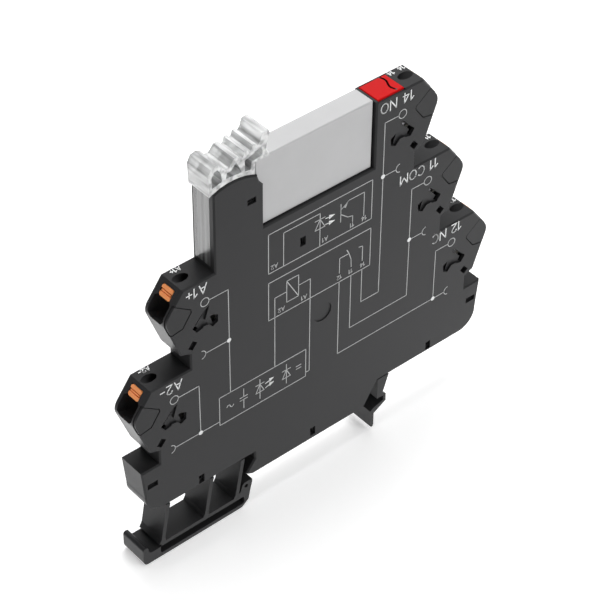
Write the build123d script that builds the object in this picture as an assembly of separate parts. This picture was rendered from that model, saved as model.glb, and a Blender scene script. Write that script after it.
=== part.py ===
"""Slim interface relay for a 35 mm rail: a narrow socket with five push-in terminals, an ejector
lever and a plug-in changeover relay. Millimetres, +Z up, away from the rail. The origin is the
middle of the rail seat, X runs across the rail and the printed side faces -Y."""
import math
import os

from build123d import *

os.makedirs("parts", exist_ok=True)

# Housing across the rail axis
width = 6.4
side_wall = 0.65
rim_wall = 1.0
edge_chamfer = 0.3
clearance = 0.1

# Rail seat, foot and claw
rail_half = 17.5
rail_lip = 1.05
seat_left = 16.95
seat_right = 12.3
seat_bevel = 0.45
skirt_height = 5.6
foot_bottom = -7.55
foot_beam_top = -3.9
foot_left = -44.3
foot_valley = -4.9
lip_thickness = 1.3
lip_height = -3.0
web_thickness = 0.9
web_slant = 1.75
web_positions = (-37.7, -27.0, -19.3)
foot_groove_depth = 2.0
hook_reach = 0.4
hook_gap = 0.2
hook_radius = 1.15
hook_hole_radius = 0.45
claw_blade = 1.0
claw_inner = 14.2
claw_outer = 18.4
claw_tip = -6.9

# Terminal steps, measured at the tip of each nose
nose_out = 36.6
nose_height = 50.15
step_out = 8.0
step_down = 19.75
ledge_rise = 6.35
ledge_end = -4.0
nose_apex = (0.35, 0.57)
nose_radius = 2.8
heel = (-3.2, -9.0)
recess = (-5.3, -9.75)
left_levels = {"a1": 1, "a2": 2}
right_levels = {"14": 0, "11": 1, "12": 2}

# Lower corner blocks
block_ledge = 17.3
block_out = 43.7
block_foot_out = 43.0
block_foot_height = 10.5
block_radius = 4.5

# Ejector column and relay bay
column_left = -25.2
column_right = -13.8
column_floor = 57.3
bay_floor = 61.3
bay_right = 12.9
pivot = (-20.7, 63.3)
column_radius = 11.8
bay_step = -13.0
bay_bumps = (-3.5, 8.4)
bump_clearance = 0.02
trunnion_radius = 1.2
trunnion_reach = 0.3
pipe_thickness = 1.0
lamp_place = -23.4

# Push-in clamps, along the wire axis of each terminal
wire_tilt = 30.7
wire_point = (-5.2, -1.1)
wire_bore_radius = 1.5
mouth_height = 5.2
mouth_width = 4.4
mouth_shift = -0.4
mouth_corner = 0.85
button_point = (-2.7, 4.65)
button_height = 2.3
button_width = 3.0
button_length = 7.0
button_slot = 0.7
button_travel = 1.2
probe_point = (-5.9, 6.35)
probe_tilt = 38.0
probe_radius = 1.05
probe_depth = 5.6
clamp_width = 3.2
spring_thickness = 0.4
bar_thickness = 0.8
bar_run_width = 1.6
cheek_gap = 0.2

# Snap windows of the side cover
window_length = 2.1
window_width = 1.3
window_gap = 0.1
post_share = 0.32
post_sink = 0.6
recess_depth = 0.45
dimple_radius = 2.2
dimple_depth = 0.2
dimple_place = (0.6, 32.8)

# Circuit board
board_thickness = 0.8
board_back = 2.5
board_left = -24.5
board_right = -1.0
board_bottom = 12.0
board_top = 47.5
board_arm_top = 55.6
rectifier_length = 5.0
rectifier_height = 4.4
capacitor_length = 10.5
capacitor_height = 8.0
capacitor_depth = 3.9
resistor_length = 6.5
resistor_radius = 1.35
varistor_radius = 3.4

# Plug-in relay
relay_length = 28.0
relay_width = 5.0
relay_height = 15.0
relay_left = -15.3
relay_bottom = 61.6
case_wall = 0.4
base_thickness = 1.0
pin_width = 0.5
pin_depth = 1.0
pin_length = 3.8
coil_pins = {"a2": -10.6, "a1": -6.8}
nc_pin = 2.7
common_pin = 6.2
no_pin = 9.7
socket_gap = 0.06
socket_blade = 0.35
socket_bottom = 56.2
socket_top = 60.2

# Values worked out from the sizes above
half = width / 2
inner = half - side_wall
board_front = board_back - board_thickness
base_top = relay_bottom + base_thickness
relay_top = relay_bottom + relay_height
relay_right = relay_left + relay_length


def poly(points):
    """Closed sketch through points given as (x, z)."""
    return make_face(Polyline(*points, close=True))


def box2(x0, x1, z0, z1):
    """Upright rectangle sketch."""
    return poly([(x0, z0), (x1, z0), (x1, z1), (x0, z1)])


def disc(x, z, radius):
    """Round sketch."""
    return Pos(x, z) * Circle(radius)


def slab(sketch, front, back):
    """Solid of a side-view sketch from y = front to y = back."""
    return Plane((0, back, 0), x_dir=(1, 0, 0), z_dir=(0, -1, 0)) * extrude(sketch, back - front)


def block(x0, x1, y0, y1, z0, z1):
    """Plain box between two corners."""
    return slab(box2(x0, x1, z0, z1), y0, y1)


def strip(points, thickness, radius, front, back):
    """Bent strip that follows a path in the side view."""
    path = FilletPolyline(*points, radius=radius) if radius else Polyline(*points)
    return slab(trace(path, thickness), front, back)


def rounded(sketch, x, z, radius):
    """Sketch with the corner nearest to (x, z) rounded."""
    nearest = min(sketch.vertices(), key=lambda v: (v.X - x) ** 2 + (v.Y - z) ** 2)
    return fillet(nearest, radius)


def nose_of(side, level):
    """Nose tip of a terminal: side is 1 on the right and -1 on the left."""
    return side * (nose_out + (level - 1) * step_out), nose_height - (level - 1) * step_down


def at_nose(points, side, level):
    """Points given from the nose tip, x outwards, as points of the side view."""
    x, z = nose_of(side, level)
    return [(x + side * dx, z + dz) for dx, dz in points]


def along(point, tilt, distance):
    """Point at a distance inwards along a line that goes in and down."""
    return (point[0] - distance * math.cos(math.radians(tilt)),
            point[1] - distance * math.sin(math.radians(tilt)))


def beside(point, tilt, offset):
    """Point moved square to that line, upwards and inwards."""
    return (point[0] - offset * math.sin(math.radians(tilt)),
            point[1] + offset * math.cos(math.radians(tilt)))


def terminals():
    """Name, side and level of the five terminals."""
    left = [(name, -1, level) for name, level in left_levels.items()]
    right = [(name, 1, level) for name, level in right_levels.items()]
    return left + right


def flank(side, first_level):
    """Stepped outline of one side, from its top ledge down to the skirt."""
    points = []
    for level in range(first_level, 3):
        points += at_nose([(ledge_end, ledge_rise), nose_apex, heel, recess], side, level)
        next_ledge = ledge_rise - step_down if level < 2 else block_ledge - nose_of(1, level)[1]
        points += at_nose([(recess[0], next_ledge)], side, level)
    lower = [(block_out, block_ledge), (block_foot_out, block_foot_height), (block_foot_out, skirt_height)]
    return points + [(side * x, z) for x, z in lower]


def body_sketch():
    """Side view of the socket without its ejector column."""
    left = flank(-1, 1)
    right = flank(1, 0)
    top = [(column_left, nose_of(-1, 1)[1] + ledge_rise), (column_left, column_floor),
           (bay_step, column_floor), (bay_step, bay_floor), (bay_right, bay_floor),
           (bay_right, nose_of(1, 0)[1] + ledge_rise)]
    rail = [(seat_right + 3.6, skirt_height), (seat_right, 0), (-seat_left, 0),
            (-seat_left - 0.95, seat_bevel), (-seat_left - 1.65, 0.95), (-seat_left + 0.65, 3.9),
            (-seat_left + 0.55, skirt_height)]
    sketch = poly(top + right + rail + left[::-1])
    for name, side, level in terminals():
        x, z = at_nose([nose_apex], side, level)[0]
        sketch = rounded(sketch, x, z, nose_radius)
    for side in (-1, 1):
        sketch = rounded(sketch, side * block_foot_out, skirt_height, block_radius)
    return sketch


def column_sketch():
    """Side plate of the ejector column with its round top."""
    tall = box2(column_left, column_right, column_floor - 1, pivot[1] + column_radius + 1)
    cap = disc(pivot[0], pivot[1], column_radius)
    corner = poly([(column_right - 1.3, 76), (column_right - 1.3, 73.4), (column_right - 0.9, 72.2),
                   (column_right, 71.1), (column_right + 1, 71.1), (column_right + 1, 76)])
    under_relay = box2(column_right - 1, bay_step + 1, column_floor - 1, bay_floor)
    return (tall & cap) - corner + under_relay


def windows():
    """Snap windows as (x, z, length along z, width along x, turn)."""
    turned = [(*at_nose([(-5.85, -7.85)], side, level)[0], side * 40) for name, side, level in terminals()]
    spots = [(x, z, window_length * 0.85, window_width, turn) for x, z, turn in turned]
    spots += [(-29.6, skirt_height + 1.5, window_length, window_width, 0)]
    spots += [(29.7, skirt_height + 1.5, window_length, window_width, 0)]
    spots += [(-1.4, 2.05, window_length, window_width, 0)]
    spots += [(-4.5, 53.05, window_length, window_width, 0)]
    spots += [(41.2, 13.3, window_width, window_length * 1.15, 0)]
    spots += [(-41.2, 13.0, window_width, window_length * 1.15, 0)]
    spots += [(-16.6, 68.7, window_width, window_length * 0.95, 0)]
    return spots


def window_sketch(spot):
    """Sketch of one snap window."""
    x, z, tall, wide, turn = spot
    return Pos(x, z) * Rot(0, 0, turn) * Rectangle(wide, tall)


def post_sketch(spot):
    """Sketch of the snap post that stands in one side of its window."""
    x, z, tall, wide, turn = spot
    along_x, along_z = (wide * post_share, tall) if tall > wide else (wide, tall * post_share)
    shift_x, shift_z = (wide - along_x) / 2, (tall - along_z) / 2
    gap = 2 * window_gap
    return Pos(x, z) * Rot(0, 0, turn) * Pos(shift_x, -shift_z) * Rectangle(along_x - gap, along_z - gap)


def cheek_sketch(side, level, body):
    """Side of the funnel block that shows through the cover."""
    points = [(1.5, 4.4), (-1.6, 4.05), (-5.8, 1.0), (-5.9, 0.3), (-3.8, -2.6), (-1.2, -3.0), (1.5, -3.0)]
    return poly(at_nose(points, side, level)) & body


def funnel_block(side, level, body):
    """Solid block round the wire funnel, the push button and the probe hole."""
    points = [(-12.0, 7.0), (1.0, 7.0), (1.0, -5.5), (-1.9, -5.5), (-4.4, -4.6), (-7.6, 0.3),
              (-9.3, 1.9), (-12.0, 1.2)]
    core = slab(poly(at_nose(points, side, level)) & body, -inner, inner)
    cheek = offset(cheek_sketch(side, level, body), -cheek_gap, kind=Kind.INTERSECTION)
    return core + slab(cheek, -half + 0.05, -inner)


def axis_plane(point, tilt, side, level, distance):
    """Plane square to a clamp line, its z pointing out of the housing and its x along Y."""
    x, z = at_nose([along(point, tilt, distance)], side, level)[0]
    angle = math.radians(tilt)
    return Plane((x, 0, z), x_dir=(0, 1, 0), z_dir=(side * math.cos(angle), 0, math.sin(angle)))


def cornered(wide, tall, corner):
    """Rectangle with cut corners, centred."""
    shape = Rectangle(wide, tall)
    return chamfer(shape.vertices(), corner)


def funnel_cut(side, level):
    """Wire mouth, its taper and the round wire bore."""
    lift = mouth_shift if side < 0 else -mouth_shift
    plane = axis_plane(wire_point, wire_tilt, side, level, 0)
    mouth = cornered(mouth_width, mouth_height, mouth_corner)
    inlet = plane * Pos(0, lift, 3.0) * mouth
    round_side = 2 * wire_bore_radius
    throat = plane * Pos(0, 0, 0.8) * cornered(round_side, round_side, mouth_corner)
    taper = loft([inlet, throat])
    straight = plane * Pos(0, lift, 3.0) * extrude(mouth, 5.0)
    bore = plane * Pos(0, 0, -4.0) * extrude(Circle(wire_bore_radius), 4.8)
    return [taper, straight, bore]


def button_channel(side, level):
    """Guide that the push button slides in."""
    plane = axis_plane(button_point, wire_tilt, side, level, button_length + 2.5)
    shape = Rectangle(button_width + 2 * clearance, button_height + 2 * clearance)
    return plane * extrude(shape, button_length + 4.5)


def probe_cut(side, level):
    """Test probe hole that slants down from the ledge."""
    plane = axis_plane(probe_point, probe_tilt, side, level, probe_depth)
    return plane * extrude(Circle(probe_radius), probe_depth + 3)


def lip_sketch():
    """Rounded driver lip at the outer end of the foot, with its valley."""
    lip_inner = foot_left + lip_thickness
    web_left = web_positions[0] - web_slant
    lip = poly([(foot_left, lip_height), (lip_inner, lip_height), (lip_inner, foot_valley),
                (web_left + 0.4, foot_valley), (web_left + 0.4, foot_bottom), (foot_left + 0.4, foot_bottom),
                (foot_left, foot_bottom + 1.2)])
    lip = rounded(lip, foot_left + 0.4, foot_bottom, 1.0)
    lip = rounded(lip, lip_inner, foot_valley, 1.0)
    lip = rounded(lip, lip_inner, lip_height, lip_thickness * 0.48)
    return rounded(lip, foot_left, lip_height, lip_thickness * 0.48)


def hook_sketch():
    """Rolled rail hook at the inner end of the foot."""
    x = -rail_half - hook_radius
    z = -rail_lip - hook_radius
    beak = poly([(x, z + hook_radius), (x + hook_radius + hook_reach, z + hook_radius - 0.15),
                 (x + hook_radius + hook_reach, z + 0.3), (x + hook_radius, z - hook_radius), (x, z)])
    return disc(x, z, hook_radius) + beak


def foot_sketch():
    """Sprung rail foot: three slanted webs, a beam, a driver lip and the rail hook."""
    web_left = web_positions[0] - web_slant
    hook_z = -rail_lip - hook_radius
    end = -rail_half - 2.3
    beam = poly([(web_left - 0.4, foot_bottom), (end, foot_bottom), (end + 1.7, foot_bottom + 1.4),
                 (-rail_half, hook_z - hook_radius), (-rail_half - hook_radius, hook_z),
                 (-rail_half - 2 * hook_radius, hook_z), (end - 0.4, foot_beam_top + 0.6),
                 (end - 1.5, foot_beam_top), (web_left - 0.4, foot_beam_top)])
    beam = rounded(beam, end, foot_bottom, 1.6)
    shape = beam + lip_sketch() + hook_sketch()
    for x in web_positions:
        shape += web_sketch(x)
    return shape - disc(-rail_half - hook_radius, hook_z, hook_hole_radius)


def web_sketch(x):
    """Slanted web from the skirt down to the beam, wider at its root."""
    top = skirt_height + rim_wall / 2
    low = foot_beam_top - 0.3
    shift = web_slant * (top - low) / (skirt_height - foot_beam_top)
    thin = web_thickness / 2
    root = web_thickness * 0.4
    return poly([(x - thin, top), (x + thin, top), (x + thin - shift * 0.85, low + 1.2),
                 (x + thin - shift + root, low), (x - thin - shift - root, low),
                 (x - thin - shift * 0.85, low + 1.2)])


def foot():
    """Rail foot with the long grooves in both sides of its beam."""
    solid = slab(foot_sketch(), -half, half)
    groove = box2(web_positions[0] - 2.4, -19.2, foot_bottom + 0.9, foot_beam_top - 0.9)
    groove = fillet(groove.vertices(), 0.5)
    for front in (-half, half - foot_groove_depth):
        solid -= slab(groove, front, front + foot_groove_depth)
    return solid - cover_room()


def cover_room():
    """Room that the side cover takes above the skirt."""
    return block(foot_left, -foot_left, -half - 1, -inner, skirt_height, skirt_height + 2)


def claw():
    """Fixed claw that holds the other edge of the rail, on its thin arm."""
    lip_x = rail_half + hook_gap
    arm_left = seat_right + 3.7
    points = [(arm_left, skirt_height + 0.4), (arm_left, 0.25), (lip_x, 0.25), (lip_x, -rail_lip),
              (claw_inner + 1.0, -1.7), (claw_inner, -2.3), (claw_inner, claw_tip + 0.5),
              (claw_inner + 0.4, claw_tip), (claw_inner + 0.8, claw_tip),
              (claw_inner + claw_blade, claw_tip + 0.5), (claw_inner + claw_blade, -3.3),
              (claw_outer, -1.5), (claw_outer, 0.4), (claw_outer - 0.9, 1.3),
              (claw_outer + 0.7, skirt_height + 0.4)]
    return slab(poly(points), -half, half) - cover_room()


def edged(solid, y):
    """Side plate with the outer edges of its face at y chamfered."""
    faces = solid.faces().sort_by(Axis.Y)
    face = faces[0] if y < 0 else faces[-1]
    return chamfer(face.outer_wire().edges(), edge_chamfer)


def clamp_shadow(side, level):
    """Soft recess over the clamp spring in the face of the cover."""
    blade = poly(at_nose([(-9.9, -0.2), (-8.6, -0.9), (-5.9, -3.9), (-6.9, -5.2), (-8.3, -4.9)], side, level))
    lobe = poly(at_nose([(-8.6, -3.3), (-10.6, -2.9), (-11.9, -3.6), (-11.8, -5.2), (-10.6, -5.8),
                         (-9.6, -4.7), (-8.0, -4.6)], side, level))
    return blade + lobe


def clamp_slots(side, level):
    """Slots through the cover at both ends of the soft recess."""
    blade = poly(at_nose([(-8.5, -1.3), (-6.0, -4.0), (-6.9, -5.1), (-7.5, -4.7), (-6.9, -3.9), (-8.8, -1.8)],
                         side, level))
    lobe = poly(at_nose([(-10.2, -3.3), (-10.9, -3.2), (-11.7, -3.8), (-11.7, -5.1), (-10.9, -5.5),
                         (-10.7, -4.6)], side, level))
    return blade + lobe


def housing_shell(body, plate):
    """Rear shell with its rim, funnel blocks, rail foot and claw."""
    ring = body - offset(body, -rim_wall, kind=Kind.INTERSECTION)
    shell = slab(ring, -inner, inner) + edged(slab(plate, inner, half), 1)
    for name, side, level in terminals():
        shell += funnel_block(side, level, body)
    shell += foot()
    shell += claw()
    for spot in windows():
        shell += slab(post_sketch(spot), -half + post_sink, inner)
    for name, side, level in terminals():
        for cut in funnel_cut(side, level):
            shell -= cut
        shell -= button_channel(side, level)
        shell -= probe_cut(side, level)
    for x in [*coil_pins.values(), nc_pin, common_pin, no_pin]:
        wide = pin_width / 2 + 0.2
        shell -= block(x - wide, x + wide, -pin_depth / 2 - 0.2, pin_depth / 2 + 0.2, bay_floor - 2, bay_floor + 1)
    shell -= block(lamp_place - 0.6, lamp_place + 0.6, -1.3, 1.3, column_floor - 2, column_floor + 1)
    for x in bay_bumps:
        shell += block(x - 0.9, x + 0.9, -inner, -inner + 0.5, bay_floor, relay_bottom - bump_clearance)
    shell -= tag_pocket()
    return shell - trunnion_pockets()


def tag_pocket():
    """Shallow seat of the marker tag in the top of the right column."""
    top = nose_of(1, 0)[1] + ledge_rise
    return block(bay_right + 0.5, bay_right + 7.1, -half - 1, inner + 0.1, top - 0.3, top + 1)


def trunnion_pockets():
    """Blind bearing holes of the ejector lever in both side plates."""
    return slab(disc(*pivot, trunnion_radius + 0.06), -inner - trunnion_reach - 0.05, inner + trunnion_reach + 0.05)


def side_cover(body, plate):
    """Front cover with its snap windows, cheek cut-outs and soft recesses."""
    cover = edged(slab(plate, -half, -inner), -1)
    cover += block(column_left, column_left + 1.2, -inner, -inner + 0.6, column_floor, column_edge_height() - 0.4)
    for name, side, level in terminals():
        cover -= slab(cheek_sketch(side, level, body), -half - 1, -inner + 0.01)
        cover -= slab(clamp_shadow(side, level), -half - 1, -half + recess_depth)
        cover -= slab(clamp_slots(side, level), -half - 1, -inner + 0.01)
        for cut in funnel_cut(side, level):
            cover -= cut
        cover -= button_channel(side, level)
    for spot in windows():
        cover -= slab(window_sketch(spot), -half - 1, -inner + 0.01)
    cover -= slab(disc(*dimple_place, dimple_radius), -half - 1, -half + dimple_depth)
    cover -= tag_pocket()
    return cover - trunnion_pockets()


def marker_tag():
    """Snap-in marker plate on the top of the right column."""
    top = nose_of(1, 0)[1] + ledge_rise
    plate = block(bay_right + 0.55, bay_right + 7.05, -half + 0.5, inner, top - 0.3, top + 0.15)
    return chamfer(plate.faces().sort_by(Axis.Z)[-1].edges(), 0.12)


def light_pipe():
    """Clear bar that carries the status light up the side of the column."""
    top = column_edge_height() - 0.2
    bar = block(column_left, column_left + pipe_thickness, -inner + 0.65, inner, column_floor, top)
    foot_plate = block(column_left, lamp_place + 0.9, -1.5, 1.5, column_floor, column_floor + 1.0)
    stub = block(lamp_place - 0.5, lamp_place + 0.5, -1.2, 1.2, column_floor - 1.2, column_floor)
    return bar + foot_plate + stub


def column_edge_height():
    """Height at which the round top of the column meets its outer edge, measured on the inside."""
    reach = pivot[0] - column_left - pipe_thickness
    return pivot[1] + math.sqrt((column_radius - 0.3) ** 2 - (reach + pipe_thickness) ** 2)


def lever_sketch():
    """Side view of the ejector lever's grip, ribs and hook."""
    radius = column_radius + clearance
    high = relay_top + 0.15
    outline = [(-5.1, 9.2), (-5.3, 11.7), (-5.4, 15.2), (-4.7, 16.5), (-3.5, 16.8), (-2.5, 16.3), (-1.9, 15.2),
               (-0.7, 15.1), (0.5, 16.5), (1.4, 16.5), (2.0, 15.6), (2.5, 15.7), (2.8, 16.9), (3.4, 16.9),
               (3.7, 16.2), (4.3, 16.3), (4.7, 17.4), (5.3, 17.4), (5.7, 16.8), (6.3, 17.3), (6.8, 19.0),
               (8.1, 19.2), (8.5, 18.3), (7.8, 16.3), (7.7, 14.9), (8.3, 14.1)]
    points = [(pivot[0] + dx, pivot[1] + dz) for dx, dz in outline]
    hook = [(points[-1][0], high), (relay_left - 0.2, high), (relay_left - 0.35, high - 3.7)]
    return poly(points + hook) - disc(*pivot, radius)


def lever_pockets():
    """Hollows that leave the grip with ribs round a thin web."""
    left = [(-4.5, 12.3), (-4.6, 14.6), (-4.0, 15.7), (-3.2, 15.8), (-2.5, 14.6), (-2.3, 12.8)]
    middle = [(-1.4, 13.0), (-1.2, 14.2), (-0.3, 14.1), (0.9, 15.5), (1.5, 14.3), (2.1, 12.7)]
    right = [(2.9, 12.5), (2.8, 14.9), (4.2, 15.3), (6.6, 16.2), (6.9, 15.0), (6.8, 14.2), (4.4, 14.0),
             (4.2, 12.3)]
    pockets = [poly([(pivot[0] + dx, pivot[1] + dz) for dx, dz in points]) for points in (left, middle, right)]
    return pockets[0] + pockets[1] + pockets[2]


def ejector_lever():
    """Clear lever with grip, retaining hook, trunnions and the toe under the relay."""
    rim_half = half - 0.3
    grip = slab(lever_sketch(), -rim_half, rim_half)
    web_half = 0.6
    for front, back in ((-rim_half, -web_half), (web_half, rim_half)):
        grip -= slab(lever_pockets(), front, back)
    px, pz = pivot
    reach = column_radius + 1.2
    arm_angles = [math.radians(a) for a in (13, 22)]
    arm = poly([(px - 1.2, pz), (px + reach * math.sin(arm_angles[0]), pz + reach * math.cos(arm_angles[0])),
                (px + reach * math.sin(arm_angles[1]), pz + reach * math.cos(arm_angles[1])), (px + 1.6, pz)])
    toe = poly([(px, pz - 2.2), (px + 5.0, pz - 3.2), (px + 6.6, pz - 2.9), (px + 6.6, pz - 2.35),
                (px + 5.0, pz - 1.95), (px + 2.0, pz + 0.6), (px, pz + 0.6)])
    inside = slab(arm + disc(px, pz, 2.2) + toe, -inner + clearance, inner - clearance)
    trunnion = slab(disc(px, pz, trunnion_radius), -inner - trunnion_reach, inner + trunnion_reach)
    return grip + inside + trunnion


def push_button(side, level):
    """Orange push button with a driver slot across its head."""
    plane = axis_plane(button_point, wire_tilt, side, level, button_length)
    button = plane * extrude(cornered(button_width, button_height, 0.3), button_length)
    slot = plane * Pos(0, 0, button_length - 0.5) * Box(button_width + 1, button_slot, 1.0)
    return button - slot


def clamp_spring(side, level):
    """Bent leaf spring that holds the wire against the current bar."""
    path = [(-12.7, -4.8), (-12.7, -0.9), (-11.9, 0.45), (-10.4, 0.3), (-7.1, -3.35)]
    return strip(at_nose(path, side, level), spring_thickness, 0.5, -clamp_width / 2, clamp_width / 2)


def bar_clamp(side, level):
    """Bent end of a current bar under the wire and up behind the spring."""
    back = -12.7 - spring_thickness / 2 - bar_thickness / 2
    path = [(-5.4, -3.5), (-10.9, -6.76), (back, -6.1), (back, -1.2)]
    return strip(at_nose(path, side, level), bar_thickness, 0.6, -clamp_width / 2, clamp_width / 2)


def current_bar(name, side, level):
    """Current bar from a clamp to its relay socket or to the circuit board."""
    back = -12.7 - spring_thickness / 2 - bar_thickness / 2
    start = at_nose([(back, -3.4)], side, level)[0]
    solid = bar_clamp(side, level)
    if side < 0:
        end = (start[0] + 4.0 if name == "a1" else board_left + 3.0, start[1])
        return solid + strip([start, end], bar_run_width, 0, board_front - bar_thickness, board_front)
    end_low = socket_bottom - bar_run_width / 2
    down = start[0] - (bar_run_width - bar_thickness) / 2
    routes = {"14": [(down, start[1]), (down, end_low), (no_pin - 0.9, end_low)],
              "11": [start, (start[0] - 6.0, start[1]), (common_pin, 52.0), (common_pin, socket_bottom)],
              "12": [start, (start[0] - 7.0, start[1]), (nc_pin, 44.0), (nc_pin, socket_bottom)]}
    return solid + strip(routes[name], bar_run_width, 0, -bar_thickness / 2, bar_thickness / 2)


def socket_contact(x, has_tail):
    """Spring fork that grips one relay pin, with a solder tail to the board for the coil."""
    reach = pin_width / 2 + socket_gap
    outer = reach + socket_blade
    fork = block(x - outer, x + outer, -0.9, 0.9, socket_bottom, socket_top)
    fork -= block(x - reach, x + reach, -1, 1, socket_bottom + 0.5, socket_top + 1)
    if has_tail:
        fork += block(x - 0.7, x + 0.7, board_front - bar_thickness, board_front, board_top - 3.5, socket_bottom + 0.5)
    return fork


def circuit_board():
    """Board for the input circuit, with an arm up to the status light."""
    main = box2(board_left, board_right, board_bottom, board_top)
    main = chamfer(main.vertices(), 1.0)
    arm = box2(-24.2, -21.2, board_top - 2, board_arm_top)
    return slab(main + arm, board_front, board_back)


def status_led():
    """Small light beside the board arm, under the light pipe."""
    lens = Pos(lamp_place, board_front - 1.2, column_floor - 1.9) * Cylinder(0.6, 0.8)
    low = column_floor - 3.8
    return lens + block(lamp_place - 0.7, lamp_place + 0.7, board_front - 2.0, board_front, low, low + 1.7)


def rectifier():
    """Bridge rectifier with four leads."""
    left = board_left + 4.0
    low = board_bottom + 3.0
    right = left + rectifier_length
    high = low + rectifier_height
    body = block(left, right, board_front - 2.2, board_front - 0.3, low, high)
    body = chamfer(body.faces().sort_by(Axis.Y)[0].edges(), 0.3)
    for x in (left + 0.9, right - 0.9):
        body += block(x - 0.35, x + 0.35, board_front - 0.3, board_front, low - 1.2, high + 1.2)
    return body


def film_capacitor():
    """Suppression capacitor, the largest piece on the board."""
    right = board_right - 2.5
    low = board_bottom + 16.5
    front = board_front - capacitor_depth
    body = block(right - capacitor_length, right, front, board_front, low, low + capacitor_height)
    return fillet(body.edges().filter_by(Axis.Y), 0.6)


def resistor(x):
    """Upright resistor with end caps and leads."""
    middle = board_bottom + 9.5
    depth = board_front - 1.5
    reach = resistor_length / 2
    body = Pos(x, depth, middle) * Cylinder(resistor_radius - 0.25, resistor_length)
    for side in (-1, 1):
        cap_z = middle + side * (reach - 0.4)
        lead_z = middle + side * (reach + 1.35)
        body += Pos(x, depth, cap_z) * Cylinder(resistor_radius, 1.5)
        body += block(x - 0.25, x + 0.25, depth - 0.25, board_front, lead_z - 0.25, lead_z + 0.25)
        body += block(x - 0.25, x + 0.25, depth - 0.25, depth + 0.25, min(cap_z, lead_z), max(cap_z, lead_z))
    return body


def varistor():
    """Disc varistor across the input."""
    x = board_left + 5.5
    z = board_bottom + 23.0
    lens = slab(disc(x, z, varistor_radius), board_front - 2.8, board_front - 0.3)
    lens = chamfer(lens.edges().filter_by(GeomType.CIRCLE), 0.6)
    for side in (-1, 1):
        lead = x + side * varistor_radius * 0.5
        lens += block(lead - 0.3, lead + 0.3, board_front - 0.6, board_front, z - varistor_radius - 2, z - 1.4)
    return lens


def relay_case():
    """Cap of the plug-in relay, open below."""
    cap = block(relay_left, relay_right, -relay_width / 2, relay_width / 2, relay_bottom, relay_top)
    cap = chamfer(cap.edges().filter_by(Axis.Z), 0.3)
    cap = chamfer(cap.faces().sort_by(Axis.Z)[-1].edges(), 0.2)
    hollow = block(relay_left + case_wall, relay_right - case_wall, -relay_width / 2 + case_wall,
                   relay_width / 2 - case_wall, relay_bottom - 1, relay_top - case_wall)
    return cap - hollow


def relay_base():
    """Base plate of the relay with its pin slots."""
    gap = case_wall + 0.02
    base = block(relay_left + gap, relay_right - gap, -relay_width / 2 + gap, relay_width / 2 - gap,
                 relay_bottom, base_top)
    for x in [*coil_pins.values(), nc_pin, common_pin, no_pin]:
        base -= pin(x, base_top)
    return base


def pin(x, top):
    """Flat relay pin with a tapered tip."""
    wide = pin_width / 2
    low = relay_bottom - pin_length
    shape = poly([(x - wide, top), (x + wide, top), (x + wide, low + 0.6), (x + wide / 2, low),
                  (x - wide / 2, low), (x - wide, low + 0.6)])
    return slab(shape, -pin_depth / 2, pin_depth / 2)


# Magnet of the relay
yoke_thickness = 0.9
core_radius = 1.2
core_height = (relay_bottom + relay_top) / 2 + 0.4
armature_left = -14.7
armature_thickness = 0.8
armature_swing = 3.4
core_left = -13.35
core_right = 1.9
bobbin_left = -12.8
bobbin_right = 0.4
flange = 0.7
flange_low = core_height - 4.9
flange_high = core_height + 4.8
card_low = relay_top - 1.95
card_high = relay_top - 1.35
contact_thickness = 0.2
contact_gap = 0.6
rivet_height = relay_bottom + 9.6
rivet_radius = 0.9
rivet_length = 1.0


def coil_bobbin():
    """Bobbin with two flanges and a bore for the core."""
    deep = relay_width / 2 - case_wall - 0.15
    tube = block(bobbin_left, bobbin_right, -1.6, 1.6, core_height - 1.6, core_height + 1.6)
    for x in (bobbin_left, bobbin_right - flange):
        tube += block(x, x + flange, -deep, deep, flange_low, flange_high)
    return tube - Plane.YZ * Pos(0, core_height, 0) * extrude(Circle(core_radius), 40, both=True)


def coil_winding():
    """Enamelled winding between the flanges."""
    start = bobbin_left + flange
    end = bobbin_right - flange
    deep = relay_width / 2 - case_wall - 0.2
    tall = 4.1
    pack = block(start, end, -deep, deep, core_height - tall, core_height + tall)
    pack = fillet(pack.edges().filter_by(Axis.X), 0.7)
    return pack - block(start, end, -1.6, 1.6, core_height - 1.6, core_height + 1.6)


def coil_core():
    """Iron core with its pole face towards the armature."""
    return Plane.YZ * Pos(0, core_height, core_left) * extrude(Circle(core_radius), core_right - core_left)


def magnet_yoke():
    """Iron yoke along the base and up to the back end of the core."""
    top = core_height + 3.0
    sole = block(core_left - 0.3, core_right, -1.9, 1.9, base_top, base_top + yoke_thickness)
    leg = block(core_right - yoke_thickness, core_right, -1.9, 1.9, base_top, top)
    return sole + leg - coil_core()


def armature():
    """Iron armature that tilts towards the core."""
    right = armature_left + armature_thickness
    bearing = armature_thickness / 2
    turn_height = base_top + 0.1 + bearing
    plate = block(armature_left, right, -1.7, 1.7, turn_height, card_high + 0.2)
    plate = chamfer(plate.faces().sort_by(Axis.Z)[-1].edges().filter_by(Axis.Y), 0.2)
    return plate + slab(disc(armature_left + bearing, turn_height, bearing), -1.7, 1.7)


def actuator_card():
    """Sliding card that carries the armature's push to the moving contact."""
    left = armature_left + armature_thickness + 0.15
    right = common_pin - contact_thickness / 2 - 0.05
    card = block(left, right, -1.0, 1.0, card_low, card_high)
    for x in (left, right - 1.5):
        card += block(x, x + 1.5, -1.6, 1.6, card_low, card_high)
    return card


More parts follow.
